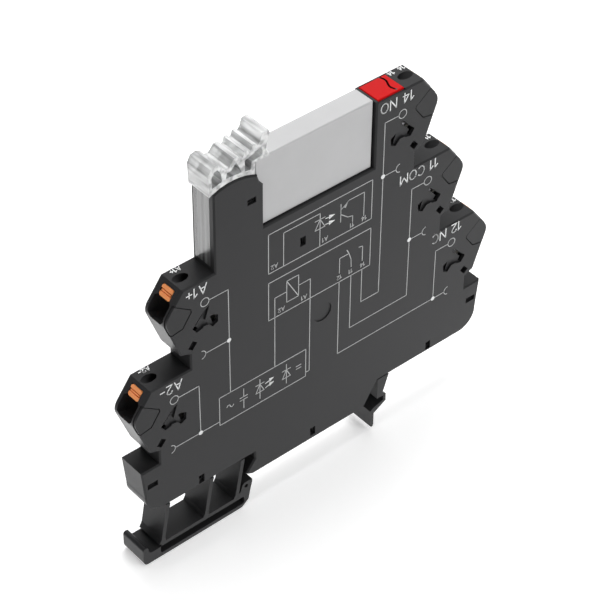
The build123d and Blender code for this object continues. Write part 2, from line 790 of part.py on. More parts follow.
def moving_contact():
    """Contact spring with its rivet, the changeover contact."""
    thin = contact_thickness / 2
    turn_height = base_top + 0.5
    leaf = block(common_pin - thin, common_pin + thin, -1.2, 1.2, turn_height, card_high)
    leaf += slab(disc(common_pin, turn_height, 0.4), -1.2, 1.2)
    rivet = Plane.YZ * Pos(0, rivet_height, common_pin) * extrude(Circle(rivet_radius), rivet_length / 2, both=True)
    return leaf + rivet


def fixed_contact(x_pin, side):
    """Fixed contact blade with its rivet; side is 1 for the working contact, -1 for the resting one."""
    gap = contact_gap if side > 0 else 0.05
    face = common_pin + side * (rivet_length / 2 + gap)
    blade_near = face + side * 0.25
    blade_far = blade_near + side * 0.3
    blade = block(*sorted((blade_near, blade_far)), -1.2, 1.2, base_top, rivet_height + 1.3)
    foot_strip = block(*sorted((blade_near, x_pin + side * pin_width / 2)), -1.2, 1.2, base_top, base_top + 0.3)
    rivet = Plane.YZ * Pos(0, rivet_height, min(face, blade_near)) * extrude(Circle(rivet_radius), 0.25)
    return pin(x_pin, base_top) + foot_strip + blade + rivet


def build():
    """Every piece by name."""
    body = body_sketch()
    plate = body + column_sketch()
    pieces = {"housing_shell": housing_shell(body, plate), "side_cover": side_cover(body, plate),
              "marker_tag": marker_tag(), "light_pipe": light_pipe(), "ejector_lever": ejector_lever()}
    for name, side, level in terminals():
        pieces["push_button_" + name] = push_button(side, level)
        pieces["clamp_spring_" + name] = clamp_spring(side, level)
        pieces["current_bar_" + name] = current_bar(name, side, level)
    for name, x in coil_pins.items():
        pieces["socket_contact_" + name] = socket_contact(x, True)
        pieces["relay_pin_" + name] = pin(x, base_top)
    for name, x in {"12": nc_pin, "11": common_pin, "14": no_pin}.items():
        pieces["socket_contact_" + name] = socket_contact(x, False)
    pieces.update({"circuit_board": circuit_board(), "status_led": status_led(), "rectifier": rectifier(),
                   "film_capacitor": film_capacitor(), "resistor_1": resistor(board_right - 11.0),
                   "resistor_2": resistor(board_right - 6.0), "varistor": varistor()})
    pieces.update({"relay_case": relay_case(), "relay_base": relay_base(), "coil_bobbin": coil_bobbin(),
                   "coil_winding": coil_winding(), "coil_core": coil_core(), "magnet_yoke": magnet_yoke(),
                   "armature": armature(), "actuator_card": actuator_card(),
                   "moving_contact": moving_contact(), "common_pin": pin(common_pin, base_top),
                   "resting_contact": fixed_contact(nc_pin, -1), "working_contact": fixed_contact(no_pin, 1)})
    return pieces


for node, solid in build().items():
    solid.label = node
    export_step(solid, f"parts/{node}.step")
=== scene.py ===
"""Slim interface relay on a pale floor: finishes, printed diagram and markings over the CAD frame."""
import math

import bpy
from mathutils import Matrix, Vector


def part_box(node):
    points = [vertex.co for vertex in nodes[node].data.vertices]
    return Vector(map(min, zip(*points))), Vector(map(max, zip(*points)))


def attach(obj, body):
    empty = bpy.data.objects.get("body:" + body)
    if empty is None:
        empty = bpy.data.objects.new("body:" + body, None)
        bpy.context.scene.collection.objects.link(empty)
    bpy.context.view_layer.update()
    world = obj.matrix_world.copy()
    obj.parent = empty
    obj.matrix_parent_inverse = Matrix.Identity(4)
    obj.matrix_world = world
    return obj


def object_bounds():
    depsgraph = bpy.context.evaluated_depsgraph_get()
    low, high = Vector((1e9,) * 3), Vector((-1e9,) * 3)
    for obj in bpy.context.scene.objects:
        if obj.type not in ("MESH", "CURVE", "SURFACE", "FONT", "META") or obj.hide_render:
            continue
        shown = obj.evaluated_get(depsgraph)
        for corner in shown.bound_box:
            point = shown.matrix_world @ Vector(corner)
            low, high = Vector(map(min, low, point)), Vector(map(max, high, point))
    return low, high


MM = 0.001

# Print on the viewed face, in millimetres
FACE_Y = -3.2
INK = 0.012
HEAVY_INK = INK * 1.2
LINE = 0.17
FINE_LINE = 0.16
RING = 0.95
DOT = 0.5
LETTER_GAP = 0.26
WORD_GAP = 0.5

# Height and stroke width of the marks
NAME_MARK = (2.15, 0.24)
DIAGRAM_MARK = (0.95, 0.15)
LEDGE_MARK = (1.05, 0.2)
TAG_MARK = (4.7, 0.4)
LEDGE_MARK_Y = 2.2
TAG_MARK_PLACE = (18.4, 0.1)

# Buttons and the ridge in their driver slot
TERMINALS = ("a1", "a2", "14", "11", "12")
BUTTON_LEAN = math.radians(30.7)
BUTTON_HEIGHT = 2.3
RIDGE_LENGTH = 2.6
RIDGE_THICKNESS = 0.28
RIDGE_DEPTH = 1.0
RIDGE_SET_BACK = 0.05

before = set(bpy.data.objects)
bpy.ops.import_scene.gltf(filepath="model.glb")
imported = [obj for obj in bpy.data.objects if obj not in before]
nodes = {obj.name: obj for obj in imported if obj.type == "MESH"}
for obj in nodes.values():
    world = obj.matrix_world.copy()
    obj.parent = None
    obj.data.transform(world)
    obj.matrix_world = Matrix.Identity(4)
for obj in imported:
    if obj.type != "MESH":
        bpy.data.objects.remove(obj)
cad_low, cad_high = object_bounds()


# Colours as they are seen on the real thing

def seen(hex_colour):
    """Linear colour for a colour as it looks on a screen."""
    parts = [int(hex_colour[i:i + 2], 16) / 255 for i in (0, 2, 4)]
    return tuple(c / 12.92 if c <= 0.04045 else ((c + 0.055) / 1.055) ** 2.4 for c in parts) + (1.0,)


HOUSING_GREY = seen("2d2d2e")
RELAY_GREY = seen("a9a9aa")
BUTTON_ORANGE = seen("ffa05e")
TAG_RED = seen("c00a0d")
PRINT_GREY = seen("bbbcbc")
MARK_GREY = seen("f0f1f1")
CLEAR_TINT = seen("fdfefe")
PIPE_TINT = seen("9a9b9b")
CLEAR_IOR = 1.49


# Shared effects

def new_group(name, inputs, outputs):
    """Empty shader group with its sockets."""
    group = bpy.data.node_groups.new(name, "ShaderNodeTree")
    for label, kind, value in inputs:
        socket = group.interface.new_socket(label, in_out="INPUT", socket_type=kind)
        socket.default_value = value
    for label, kind in outputs:
        group.interface.new_socket(label, in_out="OUTPUT", socket_type=kind)
    start = group.nodes.new("NodeGroupInput")
    end = group.nodes.new("NodeGroupOutput")
    return group, start, end


SURFACE_OUTPUTS = [("Colour", "NodeSocketColor"), ("Roughness", "NodeSocketFloat"),
                   ("Normal", "NodeSocketVector")]


def moulded_surface_group():
    """Moulded plastic: soft tone drift, fine spark-eroded grain and a slightly uneven gloss."""
    group, start, end = new_group(
        "moulded_surface",
        [("Colour", "NodeSocketColor", (0.5, 0.5, 0.5, 1)), ("Tone Drift", "NodeSocketFloat", 0.06),
         ("Grain Scale", "NodeSocketFloat", 6000.0), ("Grain Depth", "NodeSocketFloat", 0.3),
         ("Roughness", "NodeSocketFloat", 0.5), ("Gloss Drift", "NodeSocketFloat", 0.08)],
        SURFACE_OUTPUTS)
    add, link = group.nodes.new, group.links.new
    place = add("ShaderNodeTexCoord")
    drift = add("ShaderNodeTexNoise")
    drift.inputs["Scale"].default_value = 130.0
    drift.inputs["Detail"].default_value = 3.0
    grain = add("ShaderNodeTexNoise")
    grain.inputs["Detail"].default_value = 2.0
    link(place.outputs["Object"], drift.inputs["Vector"])
    link(place.outputs["Object"], grain.inputs["Vector"])
    link(start.outputs["Grain Scale"], grain.inputs["Scale"])
    tone = add("ShaderNodeMapRange")
    tone.inputs["From Min"].default_value = 0.3
    tone.inputs["From Max"].default_value = 0.7
    low = add("ShaderNodeMath")
    low.operation = "SUBTRACT"
    low.inputs[0].default_value = 1.0
    high = add("ShaderNodeMath")
    high.operation = "ADD"
    high.inputs[0].default_value = 1.0
    link(start.outputs["Tone Drift"], low.inputs[1])
    link(start.outputs["Tone Drift"], high.inputs[1])
    link(drift.outputs["Fac"], tone.inputs["Value"])
    link(low.outputs[0], tone.inputs["To Min"])
    link(high.outputs[0], tone.inputs["To Max"])
    shade = add("ShaderNodeVectorMath")
    shade.operation = "SCALE"
    link(start.outputs["Colour"], shade.inputs[0])
    link(tone.outputs["Result"], shade.inputs["Scale"])
    link(shade.outputs["Vector"], end.inputs["Colour"])
    gloss = add("ShaderNodeMath")
    gloss.operation = "MULTIPLY_ADD"
    centred = add("ShaderNodeMath")
    centred.operation = "SUBTRACT"
    centred.inputs[1].default_value = 0.5
    link(drift.outputs["Fac"], centred.inputs[0])
    link(centred.outputs[0], gloss.inputs[0])
    link(start.outputs["Gloss Drift"], gloss.inputs[1])
    link(start.outputs["Roughness"], gloss.inputs[2])
    link(gloss.outputs[0], end.inputs["Roughness"])
    bump = add("ShaderNodeBump")
    bump.inputs["Distance"].default_value = 0.00002
    link(grain.outputs["Fac"], bump.inputs["Height"])
    link(start.outputs["Grain Depth"], bump.inputs["Strength"])
    link(bump.outputs["Normal"], end.inputs["Normal"])
    return group


def rolled_metal_group():
    """Rolled or plated strip: fine lines along the strip with a drifting gloss."""
    group, start, end = new_group(
        "rolled_metal",
        [("Colour", "NodeSocketColor", (0.7, 0.7, 0.7, 1)), ("Line Scale", "NodeSocketFloat", 900.0),
         ("Line Depth", "NodeSocketFloat", 0.25), ("Roughness", "NodeSocketFloat", 0.3),
         ("Tarnish", "NodeSocketFloat", 0.15)],
        SURFACE_OUTPUTS)
    add, link = group.nodes.new, group.links.new
    place = add("ShaderNodeTexCoord")
    stretch = add("ShaderNodeMapping")
    stretch.inputs["Scale"].default_value = (0.08, 1.0, 0.6)
    lines = add("ShaderNodeTexNoise")
    lines.inputs["Detail"].default_value = 4.0
    link(place.outputs["Object"], stretch.inputs["Vector"])
    link(stretch.outputs["Vector"], lines.inputs["Vector"])
    link(start.outputs["Line Scale"], lines.inputs["Scale"])
    darker = add("ShaderNodeMix")
    darker.data_type = "RGBA"
    darker.blend_type = "MULTIPLY"
    amount = add("ShaderNodeMath")
    amount.operation = "MULTIPLY"
    link(lines.outputs["Fac"], amount.inputs[0])
    link(start.outputs["Tarnish"], amount.inputs[1])
    link(amount.outputs[0], darker.inputs["Factor"])
    link(start.outputs["Colour"], darker.inputs["A"])
    darker.inputs["B"].default_value = (0.25, 0.22, 0.2, 1)
    link(darker.outputs["Result"], end.inputs["Colour"])
    gloss = add("ShaderNodeMath")
    gloss.operation = "MULTIPLY_ADD"
    gloss.inputs[1].default_value = 0.2
    link(lines.outputs["Fac"], gloss.inputs[0])
    link(start.outputs["Roughness"], gloss.inputs[2])
    link(gloss.outputs[0], end.inputs["Roughness"])
    bump = add("ShaderNodeBump")
    bump.inputs["Distance"].default_value = 0.00001
    link(lines.outputs["Fac"], bump.inputs["Height"])
    link(start.outputs["Line Depth"], bump.inputs["Strength"])
    link(bump.outputs["Normal"], end.inputs["Normal"])
    return group


def light_streaks_group():
    """Streaks of light and shade that run along a clear piece."""
    group, start, end = new_group(
        "light_streaks",
        [("Colour", "NodeSocketColor", (1, 1, 1, 1)), ("Streak Scale", "NodeSocketFloat", 900.0),
         ("Stretch", "NodeSocketVector", (0.3, 1.0, 0.03)), ("Darkest", "NodeSocketFloat", 0.3)],
        [("Colour", "NodeSocketColor")])
    add, link = group.nodes.new, group.links.new
    place = add("ShaderNodeTexCoord")
    stretch = add("ShaderNodeMapping")
    noise = add("ShaderNodeTexNoise")
    noise.inputs["Detail"].default_value = 1.5
    tone = add("ShaderNodeMapRange")
    tone.inputs["From Min"].default_value = 0.36
    tone.inputs["From Max"].default_value = 0.6
    shade = add("ShaderNodeVectorMath")
    shade.operation = "SCALE"
    link(place.outputs["Object"], stretch.inputs["Vector"])
    link(start.outputs["Stretch"], stretch.inputs["Scale"])
    link(stretch.outputs["Vector"], noise.inputs["Vector"])
    link(start.outputs["Streak Scale"], noise.inputs["Scale"])
    link(noise.outputs["Fac"], tone.inputs["Value"])
    link(start.outputs["Darkest"], tone.inputs["To Min"])
    link(start.outputs["Colour"], shade.inputs[0])
    link(tone.outputs["Result"], shade.inputs["Scale"])
    link(shade.outputs["Vector"], end.inputs["Colour"])
    return group


MOULDED = moulded_surface_group()
ROLLED = rolled_metal_group()
STREAKS = light_streaks_group()


def finish_of(name, group, values, shader_values):
    """Material with one shared effect group in front of its shader."""
    material = bpy.data.materials.new(name)
    material.use_nodes = True
    tree = material.node_tree
    shader = tree.nodes["Principled BSDF"]
    effect = tree.nodes.new("ShaderNodeGroup")
    effect.node_tree = group
    for label, value in values.items():
        effect.inputs[label].default_value = value
    for label, value in shader_values.items():
        shader.inputs[label].default_value = value
    tree.links.new(effect.outputs["Colour"], shader.inputs["Base Color"])
    tree.links.new(effect.outputs["Roughness"], shader.inputs["Roughness"])
    tree.links.new(effect.outputs["Normal"], shader.inputs["Normal"])
    return material


def moulded(name, colour, roughness, drift=0.05, grain=0.3, scale=6000.0, specular=0.3):
    """Moulded plastic finish."""
    shader_values = {"Specular IOR Level": specular}
    values = {"Colour": colour, "Tone Drift": drift, "Grain Scale": scale, "Grain Depth": grain,
              "Roughness": roughness, "Gloss Drift": 0.12}
    return finish_of(name, MOULDED, values, shader_values)


def metal(name, colour, roughness, tarnish=0.15):
    """Rolled metal finish."""
    values = {"Colour": colour, "Line Scale": 900.0, "Line Depth": 0.25, "Roughness": roughness,
              "Tarnish": tarnish}
    return finish_of(name, ROLLED, values, {"Metallic": 1.0})


def clear_plastic(name, colour, roughness, clearness, darkest, stretch):
    """Clear moulded plastic, only partly see-through, with streaks of light and shade."""
    material = moulded(name, colour, roughness, drift=0.02, grain=0.0)
    tree = material.node_tree
    shader = tree.nodes["Principled BSDF"]
    streaks = tree.nodes.new("ShaderNodeGroup")
    streaks.node_tree = STREAKS
    streaks.inputs["Darkest"].default_value = darkest
    streaks.inputs["Stretch"].default_value = stretch
    source = shader.inputs["Base Color"].links[0].from_socket
    tree.links.new(source, streaks.inputs["Colour"])
    tree.links.new(streaks.outputs["Colour"], shader.inputs["Base Color"])
    shader.inputs["Transmission Weight"].default_value = clearness
    shader.inputs["Specular IOR Level"].default_value = 0.5
    shader.inputs["IOR"].default_value = CLEAR_IOR
    return material


FINISHES = {
    "housing": moulded("housing_dark_grey", HOUSING_GREY, 0.42, grain=0.3, specular=0.06),
    "relay": moulded("relay_cap_grey", RELAY_GREY, 0.3, drift=0.03, grain=0.2, specular=0.5),
    "orange": moulded("button_orange", BUTTON_ORANGE, 0.4, drift=0.05),
    "red": moulded("tag_red", TAG_RED, 0.6, drift=0.04, specular=0.1),
    "print": moulded("printed_ink", PRINT_GREY, 0.55, drift=0.08),
    "mark": moulded("printed_mark_ink", MARK_GREY, 0.5, drift=0.05),
    "tag_print": moulded("tag_ink", seen("1c1516"), 0.5, drift=0.05),
    "clear": clear_plastic("lever_clear", CLEAR_TINT, 0.1, 0.5, 0.45, (0.9, 0.14, 0.9)),
    "pipe": clear_plastic("pipe_clear", PIPE_TINT, 0.22, 0.2, 0.1, (0.3, 0.8, 0.02)),
    # Spring steel darkened well below its own bright colour as painted shade, so the springs read
    # dark and without glints inside the clamp slots.
    "spring": metal("spring_steel", (0.24, 0.24, 0.25, 1), 0.45),
    "tinned": metal("tinned_copper", (0.70, 0.68, 0.64, 1), 0.3),
    "alloy": metal("contact_alloy", (0.74, 0.55, 0.33, 1), 0.28),
    "iron": metal("soft_iron", (0.42, 0.42, 0.43, 1), 0.4, 0.25),
    "copper": metal("enamelled_copper", (0.60, 0.22, 0.10, 1), 0.32, 0.3),
    "bobbin": moulded("bobbin_natural", seen("d8d2c2"), 0.5),
    "board": moulded("board_green", seen("1f5c38"), 0.35, drift=0.12, scale=1500.0),
    "black": moulded("component_black", seen("1b1b1c"), 0.45),
    "yellow": moulded("capacitor_yellow", seen("c9a233"), 0.38),
    "blue": moulded("varistor_blue", seen("2f4f8e"), 0.35),
    "lacquer": moulded("resistor_lacquer", seen("8fa9b8"), 0.3),
    "amber": moulded("lamp_amber", seen("e2a53a"), 0.2),
}


def at_terminals(prefix):
    """Names of the nodes that every terminal has, for one prefix."""
    return tuple(prefix + name for name in TERMINALS)


LOOKS = {
    "housing": ("housing_shell", "side_cover"),
    "relay": ("relay_case", "relay_base"),
    "orange": at_terminals("push_button_"),
    "red": ("marker_tag",),
    "clear": ("ejector_lever",),
    "pipe": ("light_pipe",),
    "spring": at_terminals("clamp_spring_"),
    "tinned": at_terminals("current_bar_") + at_terminals("socket_contact_")
    + ("relay_pin_a1", "relay_pin_a2", "common_pin"),
    "alloy": ("moving_contact", "resting_contact", "working_contact"),
    "iron": ("coil_core", "magnet_yoke", "armature"),
    "copper": ("coil_winding",),
    "bobbin": ("coil_bobbin", "actuator_card"),
    "board": ("circuit_board",),
    "black": ("rectifier",),
    "yellow": ("film_capacitor",),
    "blue": ("varistor",),
    "lacquer": ("resistor_1", "resistor_2"),
    "amber": ("status_led",),
}


def dress_nodes():
    """Gives every CAD node its finish."""
    for look, names in LOOKS.items():
        for name in names:
            mesh = nodes[name].data
            mesh.materials.clear()
            mesh.materials.append(FINISHES[look])


# Printed diagram

class Ink:
    """Flat prisms on the viewed face, or on the plane of a matrix, gathered into one mesh."""

    def __init__(self, depth=INK, plane=None):
        self.depth = depth
        self.plane = plane
        self.points = []
        self.faces = []

    def ring(self, outline, lift):
        """Points of an outline, lifted off the face by some distance."""
        if self.plane is None:
            return [(x * MM, (FACE_Y - lift) * MM, z * MM) for x, z in outline]
        return [tuple(self.plane @ Vector((x * MM, z * MM, lift * MM))) for x, z in outline]

    def prism(self, outline):
        """Adds a thin prism over a convex outline of (x, z) points."""
        area = sum(a[0] * b[1] - b[0] * a[1] for a, b in zip(outline, outline[1:] + outline[:1]))
        ring = outline if area > 0 else outline[::-1]
        first = len(self.points)
        count = len(ring)
        self.points += self.ring(ring, self.depth) + self.ring(ring, -self.depth)
        self.faces.append(tuple(first + i for i in range(count)))
        self.faces.append(tuple(first + count + i for i in reversed(range(count))))
        for i in range(count):
            j = (i + 1) % count
            self.faces.append((first + j, first + i, first + count + i, first + count + j))

    def line(self, points, width=LINE):
        """Adds a printed line of one width through several points."""
        for (x0, z0), (x1, z1) in zip(points, points[1:]):
            length = math.hypot(x1 - x0, z1 - z0)
            ux, uz = (x1 - x0) / length, (z1 - z0) / length
            half = width / 2
            ax, az, bx, bz = x0 - ux * half, z0 - uz * half, x1 + ux * half, z1 + uz * half
            nx, nz = -uz * half, ux * half
            self.prism([(ax + nx, az + nz), (bx + nx, bz + nz),
                        (bx - nx, bz - nz), (ax - nx, az - nz)])

    def words(self, text, height, width):
        """Adds plain terminal marks, centred on the origin."""
        total = sum(advance(sign) for sign in text) - LETTER_GAP
        start = -total / 2
        for sign in text:
            for stroke in STROKES.get(sign, (0, []))[1]:
                self.line([((start + u) * height, (v - 0.5) * height) for u, v in stroke], width)
            start += advance(sign)

    def arc(self, x, z, radius, start, end, width=LINE):
        """Adds part of a printed ring, with angles in degrees."""
        steps = max(6, int(abs(end - start) / 18))
        turn = [math.radians(start + (end - start) * i / steps) for i in range(steps + 1)]
        outer, inner = radius + width / 2, radius - width / 2
        for a, b in zip(turn, turn[1:]):
            self.prism([(x + r * math.cos(t), z + r * math.sin(t))
                        for r, t in ((outer, a), (outer, b), (inner, b), (inner, a))])

    def dot(self, x, z, radius=DOT):
        """Adds a filled dot."""
        turn = [math.radians(a) for a in range(0, 360, 24)]
        self.prism([(x + radius * math.cos(t), z + radius * math.sin(t)) for t in turn])

    def frame(self, x0, x1, z0, z1, width=LINE):
        """Adds a rectangular frame."""
        self.line([(x0, z0), (x1, z0), (x1, z1), (x0, z1), (x0, z0)], width)

    def piece(self, name, look="print", body="socket"):
        """Turns the gathered prisms into a piece on a body."""
        mesh = bpy.data.meshes.new(name)
        mesh.from_pydata(self.points, [], self.faces)
        mesh.update()
        return placed(bpy.data.objects.new(name, mesh), look, body)


def placed(piece, look, body):
    """Links a new piece, paints it and lets it ride on a body."""
    bpy.context.scene.collection.objects.link(piece)
    piece.data.materials.clear()
    piece.data.materials.append(FINISHES[look])
    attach(piece, body)
    return piece


def test_fork(ink, x, z, side):
    """Open fork where a connecting link can be plugged in."""
    start = side * 90
    ink.arc(x + side * RING, z, RING, start, start + 180)


def terminal_run(ink, dots, points, circle, fork_x, fork_z):
    """Printed conductor with its terminal ring and a fork below it."""
    side = 1 if circle[0] > 0 else -1
    ink.line(points)
    ink.line([points[-1], (circle[0] - side * RING, circle[1])])
    ink.arc(circle[0], circle[1], RING, 0, 360)
    if fork_x is not None:
        dots.dot(points[-1][0], fork_z)
        ink.line([(points[-1][0], fork_z), (fork_x, fork_z)])
        test_fork(ink, fork_x, fork_z, side)


def contact_diagram():
    """Boxes of the output stage and of the changeover contact, with the coil."""
    ink = Ink()
    ink.frame(-12.8, 12.5, 49.6, 58.9)
    ink.line([(-9.2, 49.6), (-9.2, 57.5), (-0.4, 57.5), (-0.4, 49.6)])
    ink.line([(-1.6, 56.1), (0.8, 56.1)])
    ink.line([(-1.6, 53.9), (0.8, 53.9), (-0.4, 56.1), (-1.6, 53.9)])
    arrows = Ink(HEAVY_INK)
    for z in (55.5, 54.1):
        arrows.line([(1.0, z + 0.1), (2.2, z)])
        arrows.prism([(1.8, z - 0.5), (3.3, z), (1.8, z + 0.5)])
    arrows.piece("printed_light_arrows", "mark")
    ink.line([(4.7, 52.8), (4.7, 57.0)])
    ink.line([(4.7, 55.7), (6.7, 57.0), (10.5, 57.0), (10.5, 51.4)])
    ink.prism([(5.2, 56.1), (5.9, 55.6), (6.5, 56.9)])
    ink.line([(4.7, 54.6), (6.5, 53.1), (7.7, 52.8), (7.7, 51.4)])
    ink.frame(-12.8, 12.5, 38.1, 47.3)
    ink.frame(-8.4, -5.5, 40.3, 45.5)
    ink.line([(-8.3, 45.3), (-5.6, 40.5)])
    ink.line([(-11.3, 25.5), (-11.3, 42.9), (-8.4, 42.9)])
    ink.line([(-5.5, 42.9), (-2.6, 42.9), (-2.6, 19.4), (-3.5, 19.4)])
    ink.line([(4.7, 40.3), (4.7, 43.9), (6.9, 43.9)])
    ink.line([(7.7, 40.3), (7.6, 42.2), (7.1, 43.8), (6.5, 45.0)])
    ink.line([(10.5, 40.3), (10.5, 43.9), (9.6, 44.1)])
    ink.piece("printed_contact_diagram")


def run_diagram():
    """Conductors from the diagram to the terminals."""
    ink = Ink()
    dots = Ink(HEAVY_INK)
    runs = [
        ([(10.5, 38.1), (10.5, 29.8), (15.1, 29.8), (15.1, 70.8)], (19.5, 70.8), 18.4, 58.3),
        ([(7.7, 38.1), (7.7, 24.6), (22.8, 24.6), (22.8, 51.4)], (27.0, 51.4), 26.2, 38.9),
        ([(4.7, 38.1), (4.7, 19.5), (30.3, 19.5), (30.3, 32.0)], (34.6, 32.0), None, 0),
        ([(-22.2, 25.5), (-22.3, 51.2)], (-27.7, 51.2), -27.8, 38.8),
        ([(-24.9, 19.4), (-29.5, 19.4), (-29.6, 31.6)], (-35.4, 31.6), None, 0),
    ]
    for points, circle, fork_x, fork_z in runs:
        terminal_run(ink, dots, points, circle, fork_x, fork_z)
    dots.dot(30.3, 19.5)
    ink.line([(30.3, 19.5), (33.4, 19.5)])
    test_fork(ink, 33.4, 19.5, 1)
    dots.dot(-29.5, 19.4)
    ink.line([(-29.5, 19.4), (-35.6, 19.4)])
    test_fork(ink, -35.6, 19.4, -1)
    dots.piece("printed_dots", "mark")
    ink.piece("printed_conductors")


def diode(ink, x, low):
    """Diode of the supply box on its conductor, from the base of its triangle."""
    ink.line([(x, 19.5), (x, 24.4)])
    ink.line([(x - 1, low + 2), (x + 1, low + 2)])
    ink.line([(x - 1, low), (x + 1, low), (x, low + 2), (x - 1, low)])


def supply_diagram():
    """Input circuit box with rectifier, capacitor, lamp and diode symbols."""
    ink = Ink()
    ink.frame(-24.9, -3.5, 18.4, 25.5)
    ink.arc(-22.7, 22.0, 0.4, 0, 180, FINE_LINE)
    ink.arc(-21.9, 22.0, 0.4, 180, 360, FINE_LINE)
    ink.line([(-19.0, 19.5), (-19.0, 21.7)])
    ink.line([(-19.0, 22.4), (-19.0, 24.4)])
    ink.line([(-19.9, 22.4), (-18.1, 22.4)])
    ink.line([(-19.9, 21.7), (-18.1, 21.7)])
    diode(ink, -15.0, 21.2)
    arrows = Ink(HEAVY_INK)
    for z in (22.9, 21.8):
        arrows.line([(-13.6, z - 0.35), (-12.2, z)])
        arrows.prism([(-12.7, z + 0.4), (-11.5, z + 0.15), (-12.6, z - 0.55)])
    arrows.piece("printed_lamp_arrows", "mark")
    diode(ink, -8.4, 21.0)
    ink.line([(-5.9, 22.3), (-4.7, 22.3)], FINE_LINE)
    ink.line([(-5.9, 21.6), (-4.7, 21.6)], FINE_LINE)
    ink.piece("printed_supply_diagram")


def basis(origin, right, up):
    """Matrix that lays lettering at a place, given its reading direction and its up direction."""
    right, up = Vector(right).normalized(), Vector(up).normalized()
    normal = right.cross(up)
    matrix = Matrix((right, up, normal)).transposed().to_4x4()
    matrix.translation = Vector(origin) * MM
    return matrix


def on_cover(x, z):
    """Plane of an upside-down mark on the viewed face."""
    return basis((x, FACE_Y, z), (-1, 0, 0), (0, 0, -1))


def round_stroke(width, start, end):
    """Part of the round letter shape, from one angle to another in degrees."""
    steps = 12
    turn = [math.radians(start + (end - start) * i / steps) for i in range(steps + 1)]
    return [(width / 2 * (1 + math.cos(t)), 0.5 + 0.5 * math.sin(t)) for t in turn]


def wave_stroke():
    """One full wave across the width of a sign."""
    steps, swing = 16, 0.08
    return [(i / steps, 0.5 + swing * math.sin(2 * math.pi * i / steps)) for i in range(steps + 1)]


# Width and strokes of each sign, as shares of its height
STROKES = {
    "1": (0.3, [[(0.0, 0.72), (0.3, 1.0), (0.3, 0.0)]]),
    "2": (0.6, [[(0.02, 0.76), (0.09, 0.92), (0.28, 1.0), (0.48, 0.93), (0.57, 0.76), (0.5, 0.56),
                 (0.0, 0.0), (0.6, 0.0)]]),
    "4": (0.66, [[(0.48, 0.0), (0.48, 1.0), (0.0, 0.26), (0.66, 0.26)]]),
    "A": (0.76, [[(0.0, 0.0), (0.38, 1.0), (0.76, 0.0)], [(0.14, 0.34), (0.62, 0.34)]]),
    "N": (0.7, [[(0.0, 0.0), (0.0, 1.0), (0.7, 0.0), (0.7, 1.0)]]),
    "M": (0.84, [[(0.0, 0.0), (0.0, 1.0), (0.42, 0.3), (0.84, 1.0), (0.84, 0.0)]]),
    "O": (0.8, [round_stroke(0.8, 0, 360)]),
    "C": (0.7, [round_stroke(0.8, 50, 310)]),
    "+": (0.54, [[(0.0, 0.44), (0.54, 0.44)], [(0.27, 0.17), (0.27, 0.71)]]),
    "-": (0.4, [[(0.0, 0.4), (0.4, 0.4)]]),
    "~": (1.0, [wave_stroke()]),
}


def advance(sign):
    """Room that a sign takes along its line."""
    return WORD_GAP if sign == " " else STROKES[sign][0] + LETTER_GAP


def lettering(name, words, size, plane, look):
    """Generic terminal mark as thin printed strokes on a plane of the socket."""
    ink = Ink(INK, plane)
    ink.words(words, *size)
    ink.piece(name, look)


def terminal_marks():
    """Upside-down terminal names on the cover, small diagram numbers and marks on the ledges."""
    names = {"14": ("14 NO", 18.0, 74.2), "11": ("11 COM", 24.5, 54.85),
             "12": ("12 NC", 33.1, 35.3), "a1": ("A1+", -29.5, 54.5), "a2": ("A2-", -36.0, 34.7)}
    for key, (words, x, z) in names.items():
        lettering("mark_" + key, words, NAME_MARK, on_cover(x, z), "mark")
    small = {"upper_a2": ("A2", -11.4, 50.7), "upper_a1": ("A1", 0.9, 50.7),
             "upper_11": ("11", 7.6, 50.6), "upper_14": ("14", 10.6, 50.7),
             "lower_a2": ("A2", -9.7, 39.2), "lower_a1": ("A1", -4.1, 39.1),
             "lower_12": ("12", 4.7, 39.2), "lower_11": ("11", 7.6, 39.2),
             "lower_14": ("14", 10.6, 39.2)}
    for key, (words, x, z) in small.items():
        lettering("diagram_mark_" + key, words, DIAGRAM_MARK, on_cover(x, z), "print")
    ledges = {"14_outer": ("14", 23.7, 76.25), "14_inner": ("14", 21.1, 76.25),
              "11_outer": ("11", 31.6, 56.5), "11_inner": ("11", 29.1, 56.5),
              "12_outer": ("12", 39.6, 36.75), "12_inner": ("12", 37.1, 36.75),
              "a1": ("A1+", -30.0, 56.5), "a2": ("A2-", -38.0, 36.75)}
    for key, (words, x, z) in ledges.items():
        plane = basis((x, LEDGE_MARK_Y, z), (-1, 0, 0), (0, -1, 0))
        lettering("ledge_mark_" + key, words, LEDGE_MARK, plane, "mark")


def tag_marks():
    """Plain wave sign printed on the marker tag."""
    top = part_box("marker_tag")[1][2] / MM
    plane = basis((*TAG_MARK_PLACE, top), (0, 1, 0), (-1, 0, 0))
    lettering("tag_mark", "~", TAG_MARK, plane, "tag_print")


def button_ridges():
    """Narrow middle ridge in the driver slot of each button, which rides on its button."""
    across, along = math.sin(BUTTON_LEAN), math.cos(BUTTON_LEAN)
    sunk = RIDGE_DEPTH / 2 + RIDGE_SET_BACK
    u, v = RIDGE_LENGTH / 2, RIDGE_THICKNESS / 2
    for name in TERMINALS:
        low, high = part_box("push_button_" + name)
        side = 1 if low[0] > 0 else -1
        edge = high[0] if side > 0 else low[0]
        x = edge / MM - side * BUTTON_HEIGHT / 2 * across
        z = high[2] / MM - BUTTON_HEIGHT / 2 * along
        centre = (x - side * sunk * along, 0.0, z - sunk * across)
        ridge = Ink(RIDGE_DEPTH / 2, basis(centre, (0, side, 0), (-side * across, 0, along)))
        ridge.prism([(-u, -v), (u, -v), (u, v), (-u, v)])
        ridge.piece("button_ridge_" + name, "orange", "button_" + name)


# Light, floor and camera

